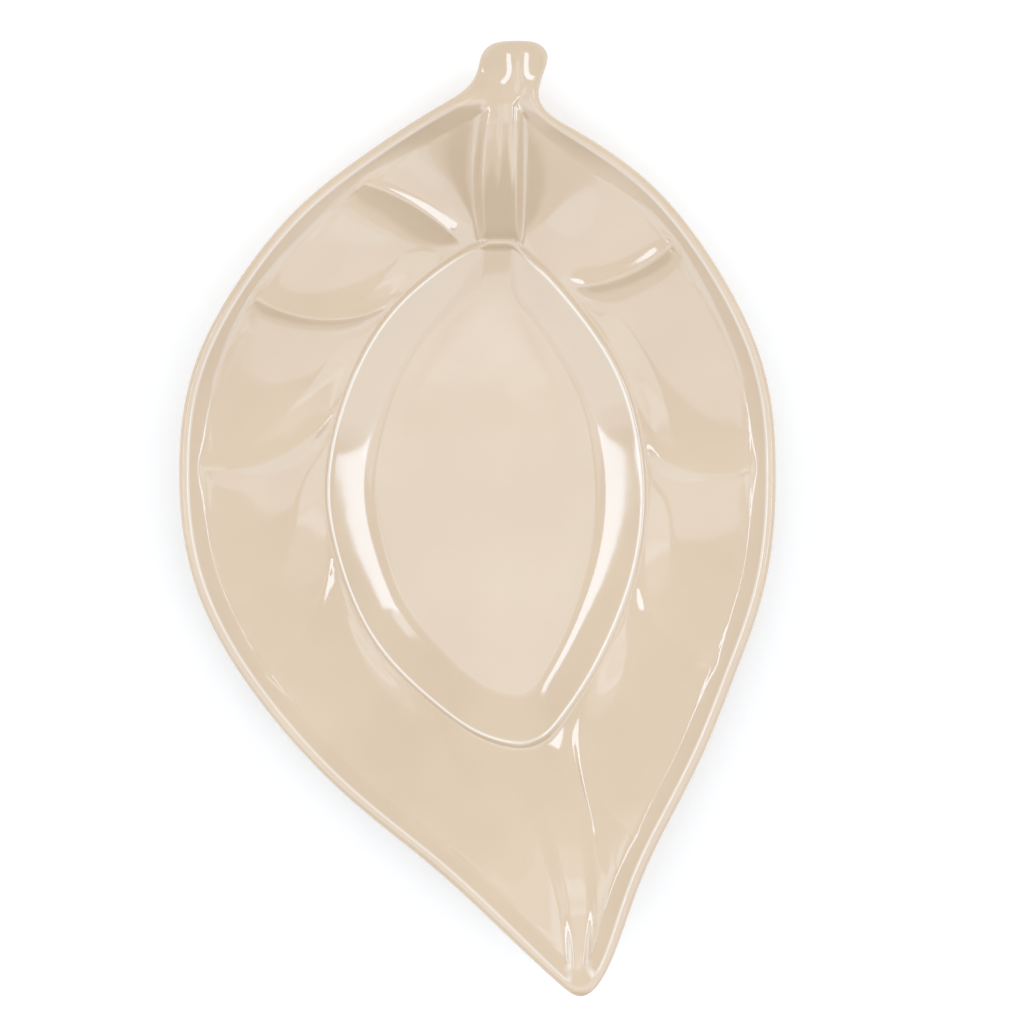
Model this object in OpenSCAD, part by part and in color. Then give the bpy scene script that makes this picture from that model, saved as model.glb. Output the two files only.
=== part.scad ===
// Leaf shaped dish in glazed stoneware. It lies on its foot ring, with the stalk
// towards +Y and the leaf's tip towards -Y. All lengths are in millimetres.

/* [Leaf] */
// Length of the leaf from its tip to the neck of the stalk
leaf_length = 282; // [220:1:340]
// Width across the widest part of the leaf
leaf_width = 188; // [150:1:230]
// Height of the rim above the table at the leaf's sides
rim_height = 26.5; // [23:0.5:38]
// How much higher the rim stands at the stalk
stalk_rise = 4; // [0:0.5:10]
// How much higher the rim stands at the tip
tip_rise = 5; // [0:0.5:12]
// Thickness of the clay wall
wall = 5; // [4:0.1:6]

/* [Lip] */
// Width of the rolled lip
lip_width = 3.8; // [3:0.1:5]
// Width of the steep band between the lip and the blade
lip_band = 4; // [3:0.1:6]
// Drop from the top of the lip to the blade
lip_drop = 3.8; // [3:0.1:6.4]

/* [Well] */
// Length of the sunk well in the middle
well_length = 156; // [120:1:180]
// Width of the well
well_width = 98; // [75:1:120]
// Depth of the well below its edge
well_depth = 6.2; // [3:0.1:8]
// Width of the hollow curve between the well's floor and its edge
well_curve = 15.5; // [10:0.5:20]
// Width of the bead round the well's edge
bead_width = 2.8; // [2:0.1:4]
// Height of the bead above the blade
bead_height = 0.7; // [0.2:0.1:1.5]

/* [Veins] */
// Height of the side veins above the lobes
vein_height = 1.7; // [0.5:0.1:3.5]
// Distance in which a side vein falls away to a third of its height
vein_width = 3.4; // [2:0.1:6]
// Rounding of a side vein's crest
vein_round = 0.9; // [0.4:0.1:2]
// Depth of the hollow scooped out of each lobe
lobe_hollow = 1.2; // [0:0.1:3]
// Width that a lobe must reach to be hollowed to its full depth
lobe_width = 32; // [15:1:60]
// Height of the midrib above the lobes
midrib_height = 2.2; // [0.5:0.1:4]
// Width of the slope at each side of the midrib
midrib_side = 4; // [2.5:0.1:6]
// Height that the lower midrib gains on its way up to the lip at the tip
tip_ridge = 1.6; // [0:0.1:4]

/* [Stalk] */
// Length of the stalk beyond the neck
stalk_length = 18.6; // [12:0.2:30]
// Width of the stalk
stalk_width = 21.4; // [16:0.2:28]
// Thickness of the stalk
stalk_thickness = 15; // [10:0.2:18]
// Height of the stalk's top above the rim beside it
stalk_crown = 1; // [0:0.1:3]
// How far the stalk's top falls away from its middle line to its sides
stalk_fall = 5.5; // [3:0.1:5.5]
// Distance in which the stalk's top rounds over at its edge
stalk_round = 4; // [2:0.2:6]
// How far the stalk's top bends down at its end
end_bend = 1.5; // [0:0.1:3]
// How far the stalk's top sinks on its way to the leaf
neck_dip = 2.4; // [0:0.1:4]

/* [Foot] */
// Height of the foot ring
foot_height = 4; // [2.5:0.1:7]
// Width of the foot ring
foot_width = 5; // [3:0.1:8]
// Distance that the flat base starts inside the well's edge
base_inset = 6; // [3:0.5:10]
// Distance from the edge of the flat base to the foot ring
foot_inset = 2.5; // [1:0.1:6]

/* [Glaze] */
// Thickness of the glaze coat
glaze = 0.4; // [0.3:0.05:0.6]

/* [Hidden] */

clay_colour = "#cdb9a2";
bare_colour = "#d9cbb8";
glaze_colour = "#e2d1ba";

// Stations run anticlockwise round the leaf from the middle of the stalk's end: down the left side, round the tip at
// station 18 and up the right side. The tables below have one row a station.
NECK_LEFT = 4;
TIP = 18;
NECK_RIGHT = 31;

// Outline of the stalk and its neck: x as a share of the stalk's width from its middle, y as a share of its length
// beyond the neck. Stations 0 to 4 on the left, 31 to 34 on the right.
stalk_left_shares = [[0.05, 1], [-0.3, 0.985], [-0.485, 0.8], [-0.545, 0.51], [-0.735, 0.17]];
stalk_right_shares = [[0.35, 0.02], [0.43, 0.46], [0.5, 0.78], [0.33, 0.985]];

// Line on which the stalk beds on the leaf, in the same shares. Stations 0 to 5 on the left, 29 to 34 on the right.
neck_left_shares = [
    [-0.125, -0.076], [-0.155, -0.08], [-0.19, -0.085], [-0.24, -0.1], [-0.32, -0.14], [-0.44, -0.22]
];
neck_right_shares = [
    [0.45, -0.55], [0.25, -0.3], [0.03, -0.14], [-0.01, -0.1], [-0.05, -0.085], [-0.09, -0.08]
];

// Middle of the stalk, as a share of the leaf's width from the leaf's middle
stalk_x_share = 0.063;

// Outline of the leaf: x as a share of its width from its middle, y as a share of its length from the tip.
// Stations 5 to 30.
leaf_shares = [
    [-0.075, 0.989], [-0.13, 0.966], [-0.21, 0.929], [-0.309, 0.875], [-0.404, 0.794],
    [-0.478, 0.698], [-0.498, 0.59], [-0.478, 0.466], [-0.383, 0.346], [-0.234, 0.231],
    [-0.08, 0.149], [0.045, 0.071], [0.132, 0.018], [0.177, 0], [0.219, 0.029],
    [0.257, 0.097], [0.299, 0.166], [0.376, 0.263], [0.433, 0.361], [0.488, 0.466],
    [0.5, 0.592], [0.475, 0.723], [0.356, 0.859], [0.259, 0.925], [0.172, 0.964], [0.131, 0.98]
];

// Outline of the well: x as a share of its width from its middle, y as a share of its length from its lower end
well_shares = [
    [0.048, 1], [0.038, 1], [0.029, 1], [0.018, 1], [0.01, 0.999], [0.002, 0.998], [-0.013, 0.996],
    [-0.038, 0.99], [-0.115, 0.963], [-0.263, 0.887], [-0.372, 0.792], [-0.449, 0.679],
    [-0.497, 0.545], [-0.481, 0.41], [-0.372, 0.22], [-0.183, 0.095], [-0.038, 0.024],
    [0.083, 0], [0.141, 0.002], [0.196, 0.018], [0.244, 0.055], [0.304, 0.109], [0.385, 0.202],
    [0.468, 0.339], [0.497, 0.475], [0.481, 0.604], [0.404, 0.768], [0.215, 0.921],
    [0.173, 0.947], [0.141, 0.967], [0.115, 0.986], [0.093, 0.997], [0.08, 0.999], [0.069, 1], [0.058, 1]
];

// Middle of the well: x as a share of the leaf's width, y as a share of its length from the tip
well_place_shares = [0.014, 0.561];

// Sideways bow of the line from the well to the rim, as a share of that line's length
bow_shares = [
    0, 0, 0, 0.01, 0.05, 0.02, -0.05, -0.07, 0.04, 0.13, 0.14, 0.13, 0.1, 0.085, 0.09, 0.1, 0.06, 0.05, 0.06, 0.08,
    0.03, -0.15, -0.14, -0.11, -0.13, -0.15, -0.13, -0.1, -0.06, -0.03, 0, 0, 0, 0, 0
];

// How far a station belongs to the stalk: 1 on it, 0 on the blade
stalk_part_shares = [
    1, 1, 1, 1, 0.9, 0.35, 0, 0, 0, 0, 0, 0, 0, 0, 0, 0, 0, 0, 0, 0,
    0, 0, 0, 0, 0, 0, 0, 0, 0, 0.1, 0.5, 0.9, 1, 1, 1
];

// How far in the foot of the lip lies at the tip and at the stations beside it, next to its place elsewhere
tip_lip_shares = [0.85, 1.35, 0.85];

// Height of the well's edge, lower at its two ends, where the midrib runs down to it
edge_shares = [
    0.5, 0.5, 0.5, 0.5, 0.5, 0.5, 0.52, 0.6, 0.75, 0.92, 1, 1, 1, 1, 1, 1, 0.92, 0.75, 0.65, 0.78,
    0.95, 1, 1, 1, 1, 1, 1, 0.9, 0.8, 0.68, 0.58, 0.52, 0.5, 0.5, 0.5
];

// First and last station of each rib, in order: the midrib above the well, the veins and the midrib below it
ribs = [
    [-4, 4], [7, 7], [9, 9], [11, 11], [13, 13], [15, 15], [17.5, 18.5],
    [21, 21], [23, 23], [25, 25], [27, 27], [31, 39]
];
LOWER_MIDRIB = 6;

// Height of each rib, next to the highest
rib_height_shares = [1, 1, 1, 0.9, 0.4, 0.25, 0.15, 0.12, 0.35, 0.8, 1, 1];

// Places of the columns between two stations, close together beside a vein
even_shares = [0, 0.5];
after_vein_shares = [0, 0.12, 0.3, 0.6];
before_vein_shares = [0, 0.4, 0.7, 0.88];

// Share of the blade's rise that is a straight slope, the rest being a hollow curve
blade_slope_share = 0.75;
// The same below the stalk
neck_slope_share = 0.8;
// Sharpness with which the stalk's top bends down to the leaf
neck_power = 1.6;
// Points between two stations on the lines that the blade rises from and to
line_steps = 8;
// Share of the drop inside the lip that is a straight slope, which runs on into the blade's
lip_straight_share = 0.3;
// Share of the curve round the well in which it bends up from the floor, before it runs straight
well_round_share = 0.3;
// How much of a rib shows on the underside
under_rib_share = 0.35;
// Height of the bead at the well's edge line, below its crest
bead_step_share = 0.5;
// Place of the bead's crest, as a share of its width
bead_crest_share = 0.3;
// Places where ribs rise from the well's edge and die out at the lip, in shares of the way between them
vein_start_shares = [0, 0.22];
midrib_start_shares = [-0.1, 0.08];
lower_midrib_start_shares = [0, 0.6];
rib_end_shares = [0.85, 1.3];
// Places between which the lower midrib climbs to the lip
tip_ridge_shares = [0.75, 1];
// Width of its side slopes at the well and at the tip, next to that of the upper midrib's
lower_side_shares = [1.8, 0.8];
// Roundness of the stalk's section at the neck and at its flatter end, and where it changes along the stalk
stalk_powers = [1.4, 1.7];
stalk_flat_shares = [0.5, 1];
// Places along the stalk between which its sides start to fall away, and the place where its end starts to bend down
stalk_fall_start_shares = [-0.1, 0.5];
end_bend_start_share = 0.5;
// Place of a lobe's deepest line, as a share of the way from the well to the lip
hollow_middle_share = 0.35;

// Zones that a ring can lie in
FLOOR = 0;
CURVE = 1;
BEAD = 2;
BLADE = 3;
LIP = 4;
UNDER_LIP = 5;
UNDER_BLADE = 6;
BASE = 7;

// The rings from the middle of the floor out over the lip and back under the leaf to the foot ring. A ring's place is
// a share of its zone, counted from the well outwards, except in LIP and UNDER_LIP, where it is counted from the rim
// inwards.
rings = [
    [FLOOR, 0.55], [CURVE, 1], [CURVE, 0.75], [CURVE, 0.45], [CURVE, 0.1],
    [BEAD, 0], [BEAD, bead_crest_share], [BEAD, 1],
    [BLADE, 0.15], [BLADE, 0.35], [BLADE, 0.57], [BLADE, 0.8], [BLADE, 1],
    [LIP, 0.72], [LIP, 0.5], [LIP, 0.34], [LIP, 0.2], [LIP, 0.06], [LIP, 0],
    [UNDER_LIP, 0.06], [UNDER_LIP, 0.45], [UNDER_BLADE, 1],
    [UNDER_BLADE, 0.6], [UNDER_BLADE, 0.1],
    [BASE, 0], [BASE, 1]
];
BLADE_END = 12;
RIM = 18;
UNDER_START = 21;

// Splines through the stations
function wrap(i, n) = (i % n + n) % n;
function controls(points) = let(n = len(points))
    [for (i = [0:n - 1]) points[i] - (points[wrap(i - 1, n)] - 2 * points[i] + points[wrap(i + 1, n)]) / 6];
function along(ctrl, s) =
    let(n = len(ctrl), i = floor(s), t = s - i, r = 1 - t)
    (r * r * r * ctrl[wrap(i - 1, n)] + (3 * t * t * t - 6 * t * t + 4) * ctrl[wrap(i, n)]
    + (3 * r * r * r - 6 * r * r + 4) * ctrl[wrap(i + 1, n)] + t * t * t * ctrl[wrap(i + 2, n)]) / 6;

function unit(v) = v / norm(v);
function mix(a, b, t) = a * (1 - t) + b * t;
function smooth(t) = let(c = min(max(t, 0), 1)) c * c * (3 - 2 * c);
function smooth_between(ends, x) = smooth((x - ends[0]) / (ends[1] - ends[0]));

// The stations' points
function stalk_point(share) =
    [stalk_x_share * leaf_width + share[0] * stalk_width, leaf_length + share[1] * stalk_length];
stations = len(well_shares);
rim_points = concat(
    [for (share = stalk_left_shares) stalk_point(share)],
    [for (share = leaf_shares) [share[0] * leaf_width, share[1] * leaf_length]],
    [for (share = stalk_right_shares) stalk_point(share)]
);
well_middle = [well_place_shares[0] * leaf_width, well_place_shares[1] * leaf_length];
well_points = [for (share = well_shares)
    well_middle + [share[0] * well_width, (share[1] - 1 / 2) * well_length]];

// Foot of the lip: a lip and a band inside the rim, square to it, and on the stalk the line where it beds
lip_reach = lip_width + lip_band;
function neck_share(i) = i <= NECK_LEFT + 1 ? neck_left_shares[i] : neck_right_shares[i - NECK_RIGHT + 2];
lip_foot_points = [for (i = [0:stations - 1])
    let(chord = rim_points[wrap(i + 1, stations)] - rim_points[wrap(i - 1, stations)],
        reach = lip_reach * (abs(i - TIP) <= 1 ? tip_lip_shares[i - TIP + 1] : 1),
        blade_foot = rim_points[i] + unit([-chord.y, chord.x]) * reach,
        part = stalk_part_shares[i])
    part > 0 ? mix(blade_foot, stalk_point(neck_share(i)), part) : blade_foot];

rim_controls = controls(rim_points);
well_controls = controls(well_points);
foot_controls = controls(lip_foot_points);
bow_controls = controls(bow_shares);
stalk_controls = controls(stalk_part_shares);
edge_controls = controls(edge_shares);

// Heights along the leaf
floor_z = foot_height + wall + glaze;
base_z = foot_height - glaze;
coat_wall = wall + 2 * glaze;
function rim_z(p) =
    let(up = (p.y - well_middle.y) / (leaf_length + stalk_length - well_middle.y),
        down = (well_middle.y - p.y) / well_middle.y)
    rim_height + stalk_rise * pow(max(up, 0), 2) + tip_rise * pow(max(down, 0), 2);

// One column from the well to the rim: its rim, well edge and foot of the lip, its bow and stalk part, the heights of
// its well edge and rim
function column(s) =
    let(rim = along(rim_controls, s))
    [rim, along(well_controls, s), along(foot_controls, s), along(bow_controls, s),
    min(max(along(stalk_controls, s), 0), 1),
    floor_z + well_depth * along(edge_controls, s), rim_z(rim)];

function is_vein(i) = len([for (rib = ribs) if (rib[0] == i && rib[1] == i) i]) > 0;
function steps(i) = is_vein(i) ? after_vein_shares : is_vein(i + 1) ? before_vein_shares : even_shares;
places = [for (i = [0:stations - 1]) for (t = steps(i)) i + t];
columns = [for (s = places) column(s)];
rib_columns = [for (rib = ribs) [column(rib[0] + stations), column(rib[1] + stations)]];
count = len(places);

// Plan of a ring's point on a column
function plan(ring, col) =
    let(rim = col[0], well = col[1], foot = col[2], bow = col[3], zone = ring[0], share = ring[1],
        inwards = unit(well_middle - well), outwards = unit(foot - well),
        curve_start = well + inwards * well_curve,
        bead_foot = well + outwards * bead_width,
        line = foot - bead_foot)
    zone == FLOOR ? mix(well_middle, curve_start, share)
    : zone == CURVE ? well + inwards * well_curve * share
    : zone == BEAD ? well + outwards * bead_width * share
    : zone == BLADE || zone == UNDER_BLADE
        ? bead_foot + line * share + [-line.y, line.x] * bow * 4 * share * (1 - share)
    : zone == LIP || zone == UNDER_LIP ? mix(rim, foot, share)
    : well + inwards * (base_inset + foot_inset * share);

// How far round and across the lobes and ribs a point lies
function ring_place(ring) =
    ring[0] == BEAD ? 0
    : ring[0] == BLADE || ring[0] == UNDER_BLADE ? ring[1]
    : ring[0] == LIP || ring[0] == UNDER_LIP ? 2 - ring[1]
    : -1;
function has_ribs(ring) = ring_place(ring) >= 0;
function pinch(d) = exp(-(sqrt(d * d + vein_round * vein_round) - vein_round) / vein_width);
function side_width(k, place) = midrib_side
    * (k == LOWER_MIDRIB ? mix(lower_side_shares[0], lower_side_shares[1], min(place, 1)) : 1);
function far(rib_point, point) = norm(rib_point - point);
rib_plans = [for (ring = rings) [for (rib = rib_columns) [plan(ring, rib[0]), plan(ring, rib[1])]]];
function is_midrib(k) = ribs[k][0] != ribs[k][1];
function midrib_start(k) = k == LOWER_MIDRIB ? lower_midrib_start_shares : midrib_start_shares;
function midrib_band(j, k, s, point) = s >= ribs[k][0] && s <= ribs[k][1] ? 1
    : 1 - smooth(min(far(rib_plans[j][k][0], point), far(rib_plans[j][k][1], point))
        / side_width(k, ring_place(rings[j])));
function midrib_part(j, s, point) =
    max([for (k = [0:len(ribs) - 1]) if (is_midrib(k))
        rib_height_shares[k] * smooth_between(midrib_start(k), ring_place(rings[j])) * midrib_band(j, k, s, point)]);
function vein_part(j, point) =
    max([for (k = [0:len(ribs) - 1]) if (!is_midrib(k))
        rib_height_shares[k] * pinch(far(rib_plans[j][k][0], point))]);
function tip_climb(ring) = ring[0] == LIP ? -lip_top(ring[1] * lip_reach) / lip_drop
    : smooth_between(tip_ridge_shares, ring_place(ring));
function rib_height(j, s, point) =
    let(place = ring_place(rings[j]),
        midrib = midrib_part(j, s, point),
        vein = vein_part(j, point) * smooth_between(vein_start_shares, place))
    (midrib_height * midrib + vein_height * vein * (1 - midrib)) * (1 - smooth_between(rib_end_shares, place))
    + tip_ridge * tip_climb(rings[j]) * midrib_band(j, LOWER_MIDRIB, s, point);

// Depth of the hollow in the lobe between two ribs, which is less where the lobe is narrow
function lobe_part(j, s) =
    let(found = [for (k = [0:len(ribs) - 2]) if (s > ribs[k][1] && s < ribs[k + 1][0])
        pow(sin(180 * (s - ribs[k][1]) / (ribs[k + 1][0] - ribs[k][1])), 2)
        * smooth(far(rib_plans[j][k][1], rib_plans[j][k + 1][0]) / lobe_width)])
    len(found) > 0 ? found[0] : 0;
function hollow_depth(j, s) =
    let(place = ring_place(rings[j]),
        fall = place < hollow_middle_share ? place / hollow_middle_share
            : (rib_end_shares[1] - place) / (rib_end_shares[1] - hollow_middle_share))
    lobe_hollow * lobe_part(j, s) * smooth(fall);

// How far the blade has risen at a point between the well and the foot of the lip. Each of these two lines pulls on
// the point with its length over the square of the distance, so the rise is even between parallel lines.
line_places = [for (k = [0:stations * line_steps - 1]) k / line_steps];
foot_line = [for (s = line_places) along(foot_controls, s)];
well_line = [for (k = [0:len(line_places) - 1])
    let(well = along(well_controls, line_places[k])) well + unit(foot_line[k] - well) * bead_width];
function lengths(line) = [for (k = [0:len(line) - 1]) norm(line[wrap(k + 1, len(line))] - line[k])];
foot_lengths = lengths(foot_line);
well_lengths = lengths(well_line);
function pull(line, weights, point) = weights * [for (q = line) 1 / ((q - point) * (q - point))];
function rise(share, point) = share <= 0 || share >= 1 ? share
    : let(up = pull(foot_line, foot_lengths, point)) up / (up + pull(well_line, well_lengths, point));

// Heights across the leaf
function stalk_fall_at(point) =
    let(across = min(abs(point.x - rim_points[0].x) / (stalk_width / 2), 1),
        place = (point.y - leaf_length) / stalk_length,
        power = mix(stalk_powers[0], stalk_powers[1], smooth_between(stalk_flat_shares, place)),
        bend = max(place - end_bend_start_share, 0) / (1 - end_bend_start_share))
    stalk_fall * pow(across, power) * smooth_between(stalk_fall_start_shares, place) + end_bend * bend * bend;
function stalk_top(col, point) = col[6] + stalk_crown - stalk_fall_at(point);
function foot_top(col) = mix(col[6] - lip_drop, stalk_top(col, col[2]) - neck_dip, col[4]);
function blade_top(col, share, point) =
    let(start = col[5] - bead_height,
        part = rise(share, point),
        straight = mix(blade_slope_share, neck_slope_share, col[4]))
    start + (foot_top(col) - start) * part * (straight + (1 - straight) * part);
lip_radius = lip_width / 2;
function roll(d) = sqrt(max(0, lip_radius * lip_radius - pow(lip_radius - min(d, lip_width), 2)));
// Where the roll passes into the band, half a right angle past its crest
roll_end = lip_radius * (1 + sin(45));
function lip_top(d) = d <= roll_end ? roll(d) - lip_radius
    : let(t = (d - roll_end) / (lip_reach - roll_end))
    mix(roll(roll_end) - lip_radius, -lip_drop, mix(1 - pow(1 - t, 3 / 2), t, lip_straight_share));
function rounded(share, col, radius) =
    let(c = min(share * norm(col[2] - col[0]) / radius, 1)) sqrt(1 - (1 - c) * (1 - c));
function stalk_z(share, col, point) =
    stalk_top(col, point) - (stalk_thickness / 2 - stalk_fall) * (1 - rounded(share, col, stalk_round))
    - neck_dip * pow(share, neck_power);
function stalk_under_z(share, col) =
    col[6] + stalk_crown - stalk_thickness / 2 * (1 + rounded(share, col, stalk_width / 2));
function under_thickness(col, share) = mix(coat_wall, stalk_thickness - neck_dip, col[4] * share * share);
function curve_rise(t) = norm([t, well_round_share]) - well_round_share;
function height(j, s, col, point) =
    let(ring = rings[j], zone = ring[0], share = ring[1],
        relief = has_ribs(ring) ? rib_height(j, s, point) - hollow_depth(j, s) : 0)
    zone == FLOOR ? floor_z
    : zone == CURVE
        ? floor_z + (col[5] - floor_z - bead_height * bead_step_share) * curve_rise(1 - share) / curve_rise(1)
    : zone == BEAD ? col[5] + relief * share
        - bead_height * (share < bead_crest_share ? bead_step_share * (1 - share / bead_crest_share)
        : pow((share - bead_crest_share) / (1 - bead_crest_share), 2))
    : zone == BLADE ? blade_top(col, share, point) + relief
    : zone == LIP ? mix(col[6] + lip_top(share * lip_reach), stalk_z(share, col, point), col[4]) + relief
    : zone == UNDER_LIP
        ? mix(col[6] + (share * lip_reach < lip_radius ? -lip_radius - roll(share * lip_reach)
            : lip_top(share * lip_reach) - coat_wall), stalk_under_z(share, col), col[4])
    : zone == UNDER_BLADE
        ? blade_top(col, share, point) - under_thickness(col, share) + under_rib_share * relief
    : base_z;

// The outer surface of the glaze, ring by ring
surface = [for (j = [0:len(rings) - 1])
    [for (i = [0:count - 1])
        let(point = plan(rings[j], columns[i]))
        [point.x, point.y, height(j, places[i], columns[i], point)]]];
last = len(rings) - 1;
top_pole = [well_middle.x, well_middle.y, floor_z];
base_pole = [well_middle.x, well_middle.y, foot_height];

// The clay's surface lies one glaze thickness inside it
function outward_normal(j, i) =
    rings[j][0] == BASE ? [0, 0, -1]
    : let(before = j == 0 ? top_pole : surface[j - 1][i],
        round_way = surface[j][wrap(i + 1, count)] - surface[j][wrap(i - 1, count)],
        out_way = surface[j + 1][i] - before)
    unit(cross(out_way, round_way));
clay = [for (j = [0:last]) [for (i = [0:count - 1]) surface[j][i] - glaze * outward_normal(j, i)]];

// The middle of the outline, which is put over the origin
function halfway(values) = (max(values) + min(values)) / 2;
middle = [halfway([for (p = surface[RIM]) p.x]), halfway([for (p = surface[RIM]) p.y])];
module centred() {
    translate([-middle.x, -middle.y, 0]) children();
}

// Faces of a stretch of the grid, whose points are numbered ring by ring from first
function at(j, i, first) = first + j * count + wrap(i, count);
function quads(j_from, j_to, i_from, i_to, first) =
    [for (j = [j_from:j_to - 1]) for (i = [i_from:i_to - 1]) each [
        [at(j, i, first), at(j, i + 1, first), at(j + 1, i + 1, first)],
        [at(j, i, first), at(j + 1, i + 1, first), at(j + 1, i, first)]
    ]];
function turned(faces) = [for (face = faces) [face[2], face[1], face[0]]];
function flat(grid) = [for (row = grid) each row];

// The stalk's stretch of the grid, its edge and the middle of the bed where it meets the leaf
stalk_from = search(NECK_RIGHT, places)[0] - count;
stalk_to = search(NECK_LEFT, places)[0];
bed_edge = concat(
    [for (i = [stalk_from:stalk_to]) at(BLADE_END, i, 0)],
    [for (j = [BLADE_END + 1:UNDER_START]) at(j, stalk_to, 0)],
    [for (i = [1:stalk_to - stalk_from]) at(UNDER_START, stalk_to - i, 0)],
    [for (j = [1:UNDER_START - BLADE_END - 1]) at(UNDER_START - j, stalk_from, 0)]
);
clay_points = flat(clay);
function average(points) = [for (p = points) 1] * points / len(points);
bed_middle = average([for (k = bed_edge) clay_points[k]]);
function bed_faces(apex) = [for (k = [0:len(bed_edge) - 1])
    [bed_edge[wrap(k + 1, len(bed_edge))], bed_edge[k], apex]];

module leaf_body() {
    poles = len(clay_points);
    points = concat(clay_points, [top_pole - [0, 0, glaze], base_pole, bed_middle]);
    faces = concat(
        [for (i = [0:count - 1]) [poles, at(0, i + 1, 0), at(0, i, 0)]],
        quads(0, BLADE_END, 0, count, 0),
        quads(BLADE_END, UNDER_START, stalk_to, stalk_from + count, 0),
        quads(UNDER_START, last, 0, count, 0),
        [for (i = [0:count - 1]) [at(last, i, 0), at(last, i + 1, 0), poles + 1]],
        turned(bed_faces(poles + 2))
    );
    color(clay_colour) centred() polyhedron(points, faces);
}

module stalk() {
    points = concat(clay_points, [bed_middle]);
    faces = concat(quads(BLADE_END, UNDER_START, stalk_from, stalk_to, 0), bed_faces(len(clay_points)));
    color(clay_colour) centred() polyhedron(points, faces);
}

module glaze_coat() {
    outside = flat(surface);
    inner = len(outside);
    poles = 2 * inner;
    points = concat(outside, clay_points, [top_pole, top_pole - [0, 0, glaze]]);
    faces = concat(
        [for (i = [0:count - 1]) [poles, at(0, i + 1, 0), at(0, i, 0)]],
        quads(0, last, 0, count, 0),
        turned([for (i = [0:count - 1]) [poles + 1, at(0, i + 1, inner), at(0, i, inner)]]),
        turned(quads(0, last, 0, count, inner)),
        [for (i = [0:count - 1]) each [
            [at(last, i, 0), at(last, i + 1, 0), at(last, i + 1, inner)],
            [at(last, i, 0), at(last, i + 1, inner), at(last, i, inner)]
        ]]
    );
    color(glaze_colour) centred() polyhedron(points, faces);
}

function foot_outline(inset) = [for (col = columns)
    col[1] + unit(well_middle - col[1]) * (base_inset + foot_inset + inset)];

module foot_ring() {
    color(bare_colour) centred() linear_extrude(foot_height) difference() {
        polygon(foot_outline(0));
        polygon(foot_outline(foot_width));
    }
}

module base_glaze() {
    color(glaze_colour) centred() translate([0, 0, base_z])
        linear_extrude(glaze) polygon(foot_outline(foot_width));
}

leaf_body();
stalk();
foot_ring();
glaze_coat();
base_glaze();
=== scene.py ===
import math

import bmesh
import bpy
import numpy as np
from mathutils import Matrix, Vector


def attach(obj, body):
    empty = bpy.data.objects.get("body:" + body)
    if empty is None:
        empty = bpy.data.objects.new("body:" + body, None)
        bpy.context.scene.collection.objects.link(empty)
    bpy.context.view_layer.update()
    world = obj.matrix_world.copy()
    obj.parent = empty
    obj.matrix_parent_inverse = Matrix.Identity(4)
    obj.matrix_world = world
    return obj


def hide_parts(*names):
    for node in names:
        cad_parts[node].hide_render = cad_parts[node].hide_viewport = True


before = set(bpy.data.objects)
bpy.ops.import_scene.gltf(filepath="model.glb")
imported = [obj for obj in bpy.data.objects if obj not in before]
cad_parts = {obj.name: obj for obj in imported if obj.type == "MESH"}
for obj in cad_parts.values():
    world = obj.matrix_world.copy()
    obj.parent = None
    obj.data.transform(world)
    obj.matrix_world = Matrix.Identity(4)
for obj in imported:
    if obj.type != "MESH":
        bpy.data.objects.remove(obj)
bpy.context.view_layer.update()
mm = 0.001
scene = bpy.context.scene


def toLinear(hexColour):
    parts = [int(hexColour[i:i + 2], 16) / 255 for i in (1, 3, 5)]
    return tuple(p / 12.92 if p <= 0.04045 else ((p + 0.055) / 1.055) ** 2.4 for p in parts) + (1.0,)


def addNode(tree, kind, links=None, **settings):
    # links: the name or number of an input, and the output socket or plain value that it gets
    node = tree.nodes.new(kind)
    for name, value in settings.items():
        setattr(node, name, value)
    for name, value in (links or {}).items():
        if isinstance(value, bpy.types.NodeSocket):
            tree.links.new(value, node.inputs[name])
        else:
            node.inputs[name].default_value = value
    return node


def newMaterial(name):
    material = bpy.data.materials.new(name)
    material.use_nodes = True
    material.node_tree.nodes.clear()
    return material, material.node_tree


def deselectAll():
    if bpy.context.object and bpy.context.object.mode != "OBJECT":
        bpy.ops.object.mode_set(mode="OBJECT")
    bpy.ops.object.select_all(action="DESELECT")


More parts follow.
